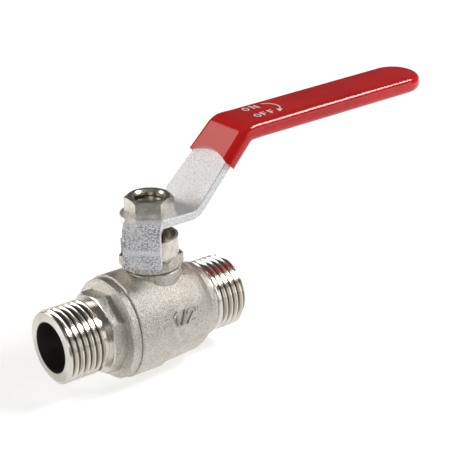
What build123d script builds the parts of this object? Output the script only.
"""Half-inch brass ball valve with a bent steel lever, drawn open.

Millimetres.  The origin is the centre of the ball, where the pipe axis and the
stem axis cross.  +X runs along the pipe towards the lever's grip, +Z runs up the
stem, and +Y completes the right-handed frame.
"""
import os
from math import cos, radians, sin, sqrt, tan

from build123d import *

# --- pipe thread (G 1/2, parallel, 55 degree Whitworth form) -----------------
PIPE_R = 20.955 / 2  # crest radius of the G 1/2 thread
PIPE_PITCH = 1.814
PIPE_DEPTH = 1.162
PIPE_HALF_ANGLE = 27.5
THREAD_LEAD = 0.55  # lead-in chamfer at each pipe end
THREAD_START = 45.0  # degrees, where each helical groove begins

# --- clearances --------------------------------------------------------------
RUN = 0.05  # a piece that turns in another
STATIC = 0.04  # pieces that are clamped or pushed together
BALL_GAP = 0.5  # ball to the cavity around it
SLOT_FLOOR_GAP = 0.15
COLLAR_GAP = 0.15  # stem collar to the walls beside it

# --- along the pipe axis -----------------------------------------------------
INLET_X = -34.0  # free end of the end connector
OCTAGON_X0 = -20.6
OCTAGON_X1 = -16.2
SEAM_X = -13.6  # where the connector's flange meets the body
COLLAR_END_X = -4.0  # end of the body's thicker collar
TAPER_END_X = 8.8
NOSE_END_X = 12.2
OUTLET_THREAD_X = 15.3
OUTLET_X = 25.2  # free end of the body

# --- ball, seats and cavity --------------------------------------------------
BORE_R = 14.5 / 2
BALL_R = 11.0
CAVITY_R = BALL_R + BALL_GAP
SEAT_OUTER_R = 10.2
SEAT_LIP_R = 9.64  # where the seat's dish starts on the ball
SEAT_W = 4.2
SEAT_X0 = sqrt((BALL_R + RUN) ** 2 - SEAT_LIP_R**2)  # face towards the ball
SEAT_X1 = SEAT_X0 + SEAT_W  # back of the seat
SPIGOT_R = CAVITY_R + 0.7  # connector's spigot inside the body
SEAL_X0 = -12.4
SEAL_X1 = -11.0
SEAL_DEPTH = 1.0

# --- across the pipe axis ----------------------------------------------------
OCTAGON_AF = 22.0
BODY_WALL = 2.8
BARREL_R = CAVITY_R + BODY_WALL
COLLAR_R = BARREL_R + 0.5
FLANGE_R = COLLAR_R - 0.5
TAPER_R = BARREL_R - 0.75
NOSE_R = SEAT_OUTER_R + 1.6
NECK_R = 10.95
RELIEF_R = 9.2  # undercut behind the inlet thread

# --- stem --------------------------------------------------------------------
STEM_R = 4.0
COLLAR_STEM_R = STEM_R + 1.2
TANG_T = 4.0  # thickness of the tongue that turns the ball
TANG_LEN = 9.2
SLOT_DEPTH = 2.6
SLOT_FLOOR_Z = BALL_R - SLOT_DEPTH
COLLAR_STEM_Z0 = BALL_R + 0.1
COLLAR_STEM_Z1 = COLLAR_STEM_Z0 + 1.1
WASHER_T = 0.6
PACK_WALL = 1.7  # radial width of the packing rings
PACK_RING_T = 1.7
PACK_RINGS = 2
FOLLOWER_T = 1.5
PACK_R = STEM_R + PACK_WALL
PACK_FLOOR_Z = COLLAR_STEM_Z1 + WASHER_T + 1.1
PACK_TOP_Z = PACK_FLOOR_Z + PACK_RINGS * PACK_RING_T
GLAND_TOP_Z = PACK_TOP_Z + FOLLOWER_T  # underside of the gland nut's web
FLAT_AF = 5.8  # across the two flats that carry the lever
STEM_THREAD_PITCH = 1.25
STEM_THREAD_DEPTH = 0.55

# --- boss, neck and gland nut ------------------------------------------------
NECK_WALL = 0.9
NECK_THREAD_R = PACK_R + NECK_WALL
NECK_TOP_Z = GLAND_TOP_Z - 0.4
BOSS_R = NECK_THREAD_R + 1.7
BOSS_TOP_Z = PACK_FLOOR_Z + 0.9
COVE_TOP_Z = BOSS_TOP_Z - 2.2  # the boss flares out below this height
COVE_FOOT_Z = BOSS_TOP_Z - 7.1
COVE_FOOT_R = BOSS_R + 3.1
GLAND_WALL = 1.2  # thread to the middle of a flat
GLAND_AF = 2 * (NECK_THREAD_R + GLAND_WALL)
GLAND_Z0 = BOSS_TOP_Z + 0.15
GLAND_HEX_H = 3.9
GLAND_WEB_T = 1.2
GLAND_TURN = 26.5  # degrees, corner direction
GLAND_CORNER_R = GLAND_AF / sqrt(3)
CUP_H = 9.05  # gland nut's underside to the rim of its cup
CUP_TOP_Z = GLAND_Z0 + CUP_H
CUP_WALL = 0.8

# --- lever -------------------------------------------------------------------
PLATE_T = 2.5
PLATE_RISE = 15.9  # gland nut's underside to the top of the lever's hub
PLATE_TOP_Z = GLAND_Z0 + PLATE_RISE
LEVER_W = 16.6
GRIP_W = 13.6  # steel width inside the sleeve
HUB_LENGTH = 10.3  # flat part, stem axis to the first bend
RISE = 19.0  # height of the grip above the hub
SLOPE = 45.0  # degrees
GRIP_TILT = 1.0  # degrees
BEND_R = 4.5  # centre-line radius of both bends
LEVER_TIP_X = 98.0
LEVER_EDGE_R = 0.35  # pressed edges of the strip
TAB_ANGLE = 225.0  # direction of the bent-down tab, seen from above
TAB_INNER = GLAND_CORNER_R + 0.6  # stem axis to the tab's inner face
TAB_W = 10.3
TAB_DROP = 12.25  # hub's top face to the tab's lower edge
TAB_BOTTOM_Z = PLATE_TOP_Z - TAB_DROP
TAB_SHIFT = -0.35
EAR_ANGLE = 60.0  # a second, narrower tab on the far side of the stem
EAR_W = 7.0
STOP_TOP_Z = TAB_BOTTOM_Z + 1.6
LUG_R0 = GLAND_CORNER_R + 0.4  # stop lug, inner and outer radius about the stem
LUG_R1 = LUG_R0 + 1.7

# --- sleeve ------------------------------------------------------------------
SLEEVE_T = 1.25
SLEEVE_START_X = 21.8
SLEEVE_EDGE_R = 2.2
SLEEVE_SAG = 2.0  # how far the hollow of its curved entry edge reaches

# --- markings ----------------------------------------------------------------
MARK_H = 3.4  # height of the raised size mark on the barrel
MARK_STROKE = 0.65
MARK_RISE = 0.4
MARK_X = -2.7  # left edge of the mark
MARK_ANGLE = 13.5  # degrees above the horizontal through the pipe axis
PRINT_H = 2.5  # height of the letters printed on the sleeve
PRINT_STROKE = 0.38
PRINT_T = 0.06
PRINT_X = 36.4  # left edge of the upper word

# --- lever nut ---------------------------------------------------------------
NUT_AF = 12.0
NUT_H = 4.8
NUT_SINK_R = STEM_R + 0.7  # countersink at the top of its thread
NUT_TURN = 22.6  # degrees, corner direction
STEM_TOP_Z = PLATE_TOP_Z + 3.05

ON_FLOOR = (Align.CENTER, Align.CENTER, Align.MIN)


def tube(r_out, r_in, x0, x1):
    """A ring about the pipe axis from x0 to x1."""
    ring = Cylinder(r_out, x1 - x0) - Cylinder(r_in, x1 - x0 + 1)
    return Pos((x0 + x1) / 2, 0, 0) * Rot(0, 90, 0) * ring


def post(r, z0, z1):
    """A round bar about the stem axis from z0 to z1."""
    return Pos(0, 0, (z0 + z1) / 2) * Cylinder(r, z1 - z0)


def turned(points):
    """A solid of revolution about the pipe axis from (x, r) corners."""
    wire = Polyline(*[(x, 0, r) for x, r in points], close=True)
    return revolve(make_face(wire), Axis.X, 360)


def helical_groove(crest_r, depth, pitch, half_angle, turns):
    """One helical vee groove about Z, starting at z = 0."""
    root = 0.07 * pitch
    over = 0.25
    mouth = root + (depth + over) * tan(radians(half_angle))
    corners = [
        (crest_r - depth, -root),
        (crest_r + over, -mouth),
        (crest_r + over, mouth),
        (crest_r - depth, root),
    ]
    edges = []
    for r, z in corners:
        edges.append((Pos(0, 0, z) * Helix(pitch=pitch, height=turns * pitch, radius=r)).edge())
    faces = []
    for k in range(4):
        faces.append(Face.make_surface_from_curves(edges[k], edges[(k + 1) % 4]))
    for end in (0, 1):
        faces.append(Face(Wire.make_polygon([e @ end for e in edges], close=True)))
    groove = Solid(Shell(Face.sew_faces(faces)[0]))
    return Rot(0, 0, THREAD_START) * groove


def hexagon(af, z0, height, turn, bevel_top, bevel_bottom):
    """A hexagonal nut blank about Z with its corners bevelled at 30 degrees."""
    corner_r = af / sqrt(3)
    blank = extrude(Rot(0, 0, turn) * RegularPolygon(corner_r, 6), height)
    rise = 0.58 * (corner_r - af / 2) + 0.12
    flat_r = af / 2 - 0.2
    top = height - (rise if bevel_top else 0)
    low = rise if bevel_bottom else 0
    wide = corner_r + 0.1
    points = [(0, 0)]
    points += [(flat_r, 0), (wide, low)] if bevel_bottom else [(wide, 0)]
    points += [(wide, top), (flat_r, height)] if bevel_top else [(wide, height)]
    points += [(0, height)]
    wire = Polyline(*[(r, 0, z) for r, z in points], close=True)
    return Pos(0, 0, z0) * (blank & revolve(make_face(wire), Axis.Z, 360))


# --- stroked characters ------------------------------------------------------
def strokes(glyph, h, x):
    """The centre lines of one character, h tall, its left edge at x."""
    w = 0.62 * h
    arch = [(0, 0.72), (0.5, 1.0), (1, 0.72)]
    lines = {
        "1": [[(0.05, 0.78), (0.5, 1), (0.5, 0)]],
        "2": [arch, [(1, 0.72), (0, 0), (1.05, 0)]],
        "/": [[(0, -0.1), (0.9, 1.1)]],
        "i": [[(0.3, 1), (0.3, 0.72)], [(0.75, 1), (0.75, 0.72)]],
        "N": [[(0, 0), (0, 1), (1, 0), (1, 1)]],
        "F": [[(0, 0), (0, 1), (0.9, 1)], [(0, 0.52), (0.75, 0.52)]],
        "O": [[(0, 0.3), (0, 0.7), (0.5, 1.0), (1, 0.7), (1, 0.3), (0.5, 0), (0, 0.3)]],
    }[glyph]
    drawn = []
    for points in lines:
        at = [(x + px * w, pz * h) for px, pz in points]
        drawn.append(ThreePointArc(*at) if points is arch else Polyline(*at))
    return drawn


def word(text, h, stroke, advance):
    """A flat word in stroked characters, advance times h apart, from the origin."""
    area = None
    for k, glyph in enumerate(text):
        for line in strokes(glyph, h, k * advance * h):
            piece = trace(line, stroke)
            area = piece if area is None else area + piece
    return area


def pipe_end(length, root_r):
    """A threaded pipe end along +X, from its root at x = 0 to its free end."""
    blank = turned([
        (0, BORE_R),
        (0, root_r),
        (0.9, root_r),
        (1.4, PIPE_R),
        (length - THREAD_LEAD, PIPE_R),
        (length, PIPE_R - THREAD_LEAD),
        (length, BORE_R),
    ])
    groove = helical_groove(PIPE_R, PIPE_DEPTH, PIPE_PITCH, PIPE_HALF_ANGLE, length / PIPE_PITCH + 0.3)
    return blank - Pos(1.9, 0, 0) * Rot(0, 90, 0) * groove


# --- body: barrel, boss, neck, outlet thread ---------------------------------
def make_body():
    outside = turned([
        (SEAM_X, 0),
        (SEAM_X, COLLAR_R - 0.35),
        (SEAM_X + 0.35, COLLAR_R),
        (COLLAR_END_X - 0.3, COLLAR_R),
        (COLLAR_END_X, BARREL_R),
        (TAPER_END_X - 0.25, TAPER_R + 0.02),
        (TAPER_END_X, TAPER_R - 0.18),
        (TAPER_END_X + 1.0, TAPER_R - 0.4),
        (TAPER_END_X + 2.2, TAPER_R - 1.0),
        (NOSE_END_X, NOSE_R),
        (NOSE_END_X + 0.5, NECK_R + 0.35),
        (OUTLET_THREAD_X - 0.3, NECK_R),
        (OUTLET_THREAD_X, PIPE_R),
        (OUTLET_X - THREAD_LEAD, PIPE_R),
        (OUTLET_X, PIPE_R - THREAD_LEAD),
        (OUTLET_X, 0),
    ])
    outside += make_boss()
    outside += post(NECK_THREAD_R, BOSS_TOP_Z - 1, NECK_TOP_Z)
    outside += stop_lug()
    outside += size_mark()
    inside = turned([
        (SEAM_X - 1, 0),
        (SEAM_X - 1, SPIGOT_R + STATIC),
        (-SEAT_X0 + 0.5, SPIGOT_R + STATIC),
        (-SEAT_X0 + 0.5, CAVITY_R),
        (SEAT_X0 - 0.2, CAVITY_R),
        (SEAT_X0 - 0.2, SEAT_OUTER_R + STATIC),
        (SEAT_X1, SEAT_OUTER_R + STATIC),
        (SEAT_X1, BORE_R),
        (OUTLET_X + 1, BORE_R),
        (OUTLET_X + 1, 0),
    ])
    body = outside - inside
    body -= post(COLLAR_STEM_R + COLLAR_GAP, 0, COLLAR_STEM_Z1 + WASHER_T)
    body -= post(STEM_R + RUN, 0, PACK_FLOOR_Z + 1)
    body -= post(PACK_R, PACK_FLOOR_Z, NECK_TOP_Z + 1)
    cut_x = OUTLET_THREAD_X - 0.8
    keep = Pos(cut_x - 100, 0, 0) * Box(200, 200, 200)
    return (body & keep) + Pos(cut_x, 0, 0) * pipe_end(OUTLET_X - cut_x, NECK_R - 1.0)


def size_mark():
    """The raised size mark, wrapped on the front of the barrel."""
    flat = word('1/2i', MARK_H, MARK_STROKE, 0.72)
    slab = extrude(flat, 20)
    slab = Pos(MARK_X, 0, -MARK_H / 2) * Rot(90, 0, 0) * slab
    slab = Rot(-MARK_ANGLE, 0, 0) * slab
    shell = turned([
        (COLLAR_END_X + 0.2, BARREL_R - 1),
        (COLLAR_END_X + 0.2, BARREL_R + MARK_RISE),
        (TAPER_END_X - 0.3, TAPER_R + MARK_RISE),
        (TAPER_END_X - 0.3, TAPER_R - 1),
    ])
    return slab & shell


def make_boss():
    """The round boss under the gland nut, flared where it grows out of the barrel."""
    low = COVE_FOOT_Z
    side = [
        Line((0, 0, BOSS_TOP_Z), (BOSS_R - 0.35, 0, BOSS_TOP_Z)),
        Line((BOSS_R - 0.35, 0, BOSS_TOP_Z), (BOSS_R, 0, BOSS_TOP_Z - 0.35)),
        Line((BOSS_R, 0, BOSS_TOP_Z - 0.35), (BOSS_R, 0, COVE_TOP_Z)),
        TangentArc((BOSS_R, 0, COVE_TOP_Z), (COVE_FOOT_R, 0, low), tangent=(0, 0, -1)),
        Polyline((COVE_FOOT_R, 0, low), (COVE_FOOT_R, 0, 0), (0, 0, 0), (0, 0, BOSS_TOP_Z)),
    ]
    return revolve(make_face(side), Axis.Z, 360)


def beyond(direction, side):
    """Half space past a tab's edge: on the +side or -side of the given direction."""
    block = Pos(0, side + (100 if side > 0 else -100), 0) * Box(200, 200, 200)
    return Rot(0, 0, direction) * block


def stop_lug():
    """The cast lug that the lever's tab and ear come to rest against."""
    foot = make_ring(LUG_R1, LUG_R0 - 3, 6, BOSS_TOP_Z)
    head = make_ring(LUG_R1, LUG_R0, 6, STOP_TOP_Z)
    tab_edge = beyond(TAB_ANGLE - 90, TAB_SHIFT - TAB_W / 2 - STATIC)
    ear_edge = beyond(EAR_ANGLE, EAR_W / 2 + STATIC)
    return (foot + head) & tab_edge & ear_edge


# --- end connector: octagon, flange, spigot, inlet thread --------------------
def make_connector():
    outside = turned([
        (OCTAGON_X0 - 2, 0),
        (OCTAGON_X0 - 2, RELIEF_R),
        (OCTAGON_X1 - 0.5, RELIEF_R),
        (OCTAGON_X1, FLANGE_R - 0.5),
        (OCTAGON_X1 + 0.5, FLANGE_R),
        (SEAM_X - 0.25, FLANGE_R),
        (SEAM_X, FLANGE_R - 0.25),
        (SEAM_X, SPIGOT_R),
        (-SEAT_X0 - 0.4, SPIGOT_R),
        (-SEAT_X0, SPIGOT_R - 0.4),
        (-SEAT_X0, 0),
    ])
    octagon_r = OCTAGON_AF / 2 / cos(radians(22.5))
    octagon = extrude(Rot(0, 0, 15.0) * RegularPolygon(octagon_r, 8), OCTAGON_X1 - OCTAGON_X0 + 0.3)
    octagon = Pos(OCTAGON_X0, 0, 0) * Rot(0, 90, 0) * octagon
    bevel = turned([
        (OCTAGON_X0, 0),
        (OCTAGON_X0, octagon_r - 0.9),
        (OCTAGON_X0 + 0.75, octagon_r + 0.2),
        (OCTAGON_X1 + 0.3, octagon_r + 0.2),
        (OCTAGON_X1 + 0.3, 0),
    ])
    solid = outside + (octagon & bevel)
    solid -= tube(SPIGOT_R + 1, SPIGOT_R - SEAL_DEPTH, SEAL_X0, SEAL_X1)
    inside = turned([
        (INLET_X - 1, 0),
        (INLET_X - 1, BORE_R),
        (-SEAT_X1, BORE_R),
        (-SEAT_X1, SEAT_OUTER_R + STATIC),
        (-SEAT_X0 + 1, SEAT_OUTER_R + STATIC),
        (-SEAT_X0 + 1, 0),
    ])
    solid -= inside
    solid -= post(COLLAR_STEM_R + COLLAR_GAP, COLLAR_STEM_Z0 - 0.5, COLLAR_STEM_Z1 + 0.5)
    cut_x = OCTAGON_X0 - 1.0
    keep = Pos(cut_x + 100, 0, 0) * Box(200, 200, 200)
    end = pipe_end(cut_x - INLET_X, RELIEF_R)
    return (solid & keep) + Pos(cut_x, 0, 0) * Rot(0, 0, 180) * end


def make_ball():
    ball = Rot(0, 90, 0) * Sphere(BALL_R) - Rot(0, 90, 0) * Cylinder(BORE_R, 3 * BALL_R)
    slot = Box(TANG_T + 2 * RUN, 3 * BALL_R, BALL_R, align=ON_FLOOR)
    return ball - Pos(0, 0, SLOT_FLOOR_Z) * slot


def make_seat(side):
    """A soft ring dished to the ball; side is +1 for the outlet, -1 for the inlet."""
    dish_r = BALL_R + RUN
    inner_r = BORE_R + STATIC
    mid_r = (inner_r + sqrt(dish_r**2 - SEAT_X0**2)) / 2
    lip = (SEAT_X0, 0, sqrt(dish_r**2 - SEAT_X0**2))
    mid = (sqrt(dish_r**2 - mid_r**2), 0, mid_r)
    throat = (sqrt(dish_r**2 - inner_r**2), 0, inner_r)
    back = [throat, (SEAT_X1, 0, inner_r), (SEAT_X1, 0, SEAT_OUTER_R), (SEAT_X0, 0, SEAT_OUTER_R), lip]
    ring = revolve(make_face([ThreePointArc(lip, mid, throat), Polyline(*back)]), Axis.X, 360)
    return ring if side > 0 else Rot(0, 0, 180) * ring


def make_stem():
    stem = post(STEM_R, COLLAR_STEM_Z0, STEM_TOP_Z)
    stem = chamfer(stem.edges().group_by(Axis.Z)[-1], 0.5)
    stem += post(COLLAR_STEM_R, COLLAR_STEM_Z0, COLLAR_STEM_Z1)
    tang_z = SLOT_FLOOR_Z + SLOT_FLOOR_GAP
    tang = Box(TANG_T, TANG_LEN, COLLAR_STEM_Z0 - tang_z + 0.5)
    stem += Pos(0, 0, (tang_z + COLLAR_STEM_Z0 + 0.5) / 2) * tang
    shoulder = PLATE_TOP_Z - PLATE_T
    for side in (-1, 1):
        cut = Box(2 * STEM_R, STEM_R, STEM_TOP_Z - shoulder + 1, align=ON_FLOOR)
        stem -= Pos(0, side * (FLAT_AF / 2 + STEM_R / 2), shoulder) * cut
    turns = (STEM_TOP_Z - PLATE_TOP_Z) / STEM_THREAD_PITCH + 0.6
    groove = helical_groove(STEM_R, STEM_THREAD_DEPTH, STEM_THREAD_PITCH, 30, turns)
    return stem - Pos(0, 0, PLATE_TOP_Z + 0.3) * groove


def make_ring(r_out, r_in, z0, z1):
    return post(r_out, z0, z1) - post(r_in, z0 - 1, z1 + 1)


def make_gland_nut():
    hex_top = GLAND_Z0 + GLAND_HEX_H
    nut = hexagon(GLAND_AF, GLAND_Z0, GLAND_HEX_H, GLAND_TURN, True, True)
    cup_r = GLAND_AF / 2
    nut += post(cup_r, hex_top - 0.6, CUP_TOP_Z)
    web_top = GLAND_TOP_Z + GLAND_WEB_T
    nut -= post(NECK_THREAD_R + RUN, GLAND_Z0 - 1, GLAND_TOP_Z)
    nut -= post(cup_r - CUP_WALL, web_top, CUP_TOP_Z + 1)
    nut -= post(STEM_R + 0.3, 0, CUP_TOP_Z + 1)
    return nut


# --- lever -------------------------------------------------------------------
def side_line():
    """Centre line of the lever in the XZ plane: hub, slope, grip."""
    z0 = PLATE_TOP_Z - PLATE_T / 2
    run = RISE / tan(radians(SLOPE))
    x2 = HUB_LENGTH + run
    z2 = z0 + RISE
    far = LEVER_TIP_X + 5
    return [
        (-14.0, z0),
        (HUB_LENGTH, z0),
        (x2, z2),
        (far, z2 + (far - x2) * tan(radians(GRIP_TILT))),
    ]


def bent_strip(half, width):
    """The lever's strip, half thick either side of its centre line."""
    line = FilletPolyline(*[(x, 0, z) for x, z in side_line()], radius=BEND_R)
    face = make_face(offset(line, half, side=Side.BOTH, kind=Kind.ARC))
    strip = extrude(face, width / 2, dir=(0, 1, 0), both=True)
    return strip


def plan(hub_r, tip_x, grow=0.0):
    """Plan outline of the lever as a tall prism."""
    x1 = HUB_LENGTH + 3
    x2 = x1 + 21
    a = LEVER_W / 2 + grow
    g = GRIP_W / 2 + grow
    outline = Polyline(
        (0, -a),
        (x1, -a),
        (x2, -g),
        (tip_x + grow, -g),
        (tip_x + grow, g),
        (x2, g),
        (x1, a),
        (0, a),
        close=True,
    )
    prism = extrude(make_face(outline), 90)
    tips = prism.edges().filter_by(Axis.Z).group_by(Axis.X)[-1]
    prism = fillet(tips, 0.47 * GRIP_W + grow)
    if hub_r:
        prism += Pos(0, 0, 45) * Cylinder(hub_r, 90)
    return prism


def hung(direction, width, shift):
    """A tab bent down from the hub plate."""
    z0 = PLATE_TOP_Z - PLATE_T
    outer = TAB_INNER + PLATE_T
    reach = Pos(outer / 2, shift, z0 + PLATE_T / 2) * Box(outer, width, PLATE_T)
    drop = Pos(outer - PLATE_T / 2, shift, (TAB_BOTTOM_Z + PLATE_TOP_Z) / 2)
    drop = drop * Box(PLATE_T, width, PLATE_TOP_Z - TAB_BOTTOM_Z)
    tab = reach + drop
    top = tab.edges().filter_by(Axis.Y).group_by(Axis.Z)[-1].sort_by(Axis.X)[-1]
    tab = fillet(top, PLATE_T + 0.4)
    inner = tab.edges().filter_by(Axis.Y).filter_by_position(Axis.Z, z0 - 0.01, z0 + 0.01)
    inner = inner.filter_by_position(Axis.X, TAB_INNER - 0.01, TAB_INNER + 0.01)
    tab = fillet(inner, 0.6)
    return Rot(0, 0, direction) * tab


def double_d(r, af, z0, z1):
    """Prism with two flats facing +Y and -Y."""
    return post(r, z0, z1) & Pos(0, 0, (z0 + z1) / 2) * Box(3 * r, af, z1 - z0)


def is_upright(edge):
    """An edge that runs straight through the strip's thickness."""
    return edge.length < PLATE_T * 1.5 and abs((edge % 0.5).Z) > 0.6


def make_lever():
    lever = bent_strip(PLATE_T / 2, 60) & plan(LEVER_W / 2, LEVER_TIP_X)
    edges = [e for e in lever.edges() if abs((e % 0.5).Y) < 0.9 and not is_upright(e)]
    lever = fillet(edges, LEVER_EDGE_R)
    lever += hung(TAB_ANGLE, TAB_W, TAB_SHIFT)
    lever += hung(EAR_ANGLE, EAR_W, 0)
    lever -= double_d(STEM_R + STATIC, FLAT_AF + 2 * STATIC, PLATE_TOP_Z - 2 * PLATE_T, PLATE_TOP_Z + 1)
    return lever


def make_sleeve():
    skin = SLEEVE_T + STATIC
    outer = bent_strip(PLATE_T / 2 + skin, 60) & plan(0, LEVER_TIP_X, skin)
    start_z = PLATE_TOP_Z - PLATE_T / 2 + (SLEEVE_START_X - HUB_LENGTH) * tan(radians(SLOPE))
    keep = Box(400, 60, 400, align=(Align.MIN, Align.CENTER, Align.CENTER))
    outer &= Pos(SLEEVE_START_X, 0, start_z) * Rot(0, -SLOPE, 0) * keep
    start = outer.faces().sort_by(Axis.X)[0]
    rim = start.edges()
    long_edges = [e for e in outer.edges() if not any(e.is_same(r) for r in rim)]
    outer = fillet(long_edges, SLEEVE_EDGE_R)
    half = LEVER_W / 2
    sweep_r = (half**2 + SLEEVE_SAG**2) / (2 * SLEEVE_SAG)
    edge = Pos(SLEEVE_SAG - sweep_r, 0, 0) * Cylinder(sweep_r, 40)
    outer -= Pos(SLEEVE_START_X, 0, start_z) * Rot(0, -SLOPE, 0) * edge
    hollow = bent_strip(PLATE_T / 2 + STATIC, 60) & plan(0, LEVER_TIP_X, STATIC)
    return outer - hollow


def make_print():
    """ON, OFF and a curved arrow, printed on the sleeve near its bend."""
    on = word("ON", PRINT_H, PRINT_STROKE, 1.25)
    off = word("OFF", PRINT_H, PRINT_STROKE, 1.05)
    arc = ThreePointArc((7.2, 4.4), (9.8, 0.8), (8.2, -2.6))
    head = Polyline((7.4, -2.0), (8.9, -3.0), (7.0, -4.3), close=True)
    area = Pos(0, 2.4) * on + Pos(-0.8, -4.0) * off + trace(arc, PRINT_STROKE) + make_face(head)
    top = PLATE_T / 2 + SLEEVE_T + STATIC
    run = RISE / tan(radians(SLOPE))
    rise = RISE + (PRINT_X - HUB_LENGTH - run) * tan(radians(GRIP_TILT))
    z = PLATE_TOP_Z - PLATE_T / 2 + rise + top / cos(radians(GRIP_TILT))
    return Pos(PRINT_X, 0, z) * Rot(0, -GRIP_TILT, 0) * extrude(area, PRINT_T)


def make_lever_nut():
    nut = hexagon(NUT_AF, PLATE_TOP_Z + 0.02, NUT_H, NUT_TURN, True, False)
    nut -= post(STEM_R + RUN, 0, PLATE_TOP_Z + NUT_H + 1)
    sink = Cone(STEM_R, NUT_SINK_R, NUT_SINK_R - STEM_R, align=(Align.CENTER, Align.CENTER, Align.MAX))
    return nut - Pos(0, 0, PLATE_TOP_Z + 0.02 + NUT_H) * sink


def make_seal():
    return tube(SPIGOT_R, SPIGOT_R - SEAL_DEPTH + STATIC, SEAL_X0 + STATIC, SEAL_X1 - STATIC)


def make_washer():
    return make_ring(COLLAR_STEM_R, STEM_R + RUN, COLLAR_STEM_Z1, COLLAR_STEM_Z1 + WASHER_T)


def make_packing(k):
    z0 = PACK_FLOOR_Z + k * PACK_RING_T
    return make_ring(PACK_R - STATIC, STEM_R + RUN, z0, z0 + PACK_RING_T)


def make_follower():
    return make_ring(PACK_R - STATIC, STEM_R + 0.1, PACK_TOP_Z, GLAND_TOP_Z)


PARTS = {
    "body": make_body,
    "end_connector": make_connector,
    "ball": make_ball,
    "seat_inlet": lambda: make_seat(-1),
    "seat_outlet": lambda: make_seat(1),
    "connector_seal": make_seal,
    "stem": make_stem,
    "thrust_washer": make_washer,
    "packing_lower": lambda: make_packing(0),
    "packing_upper": lambda: make_packing(1),
    "packing_follower": make_follower,
    "gland_nut": make_gland_nut,
    "lever": make_lever,
    "grip_sleeve": make_sleeve,
    "grip_print": make_print,
    "lever_nut": make_lever_nut,
}

os.makedirs("parts", exist_ok=True)
for name, make in PARTS.items():
    shape = make()
    print(name, shape.is_valid, len(shape.solids()), round(shape.volume, 1), shape.bounding_box())
    export_step(shape, f"parts/{name}.step")
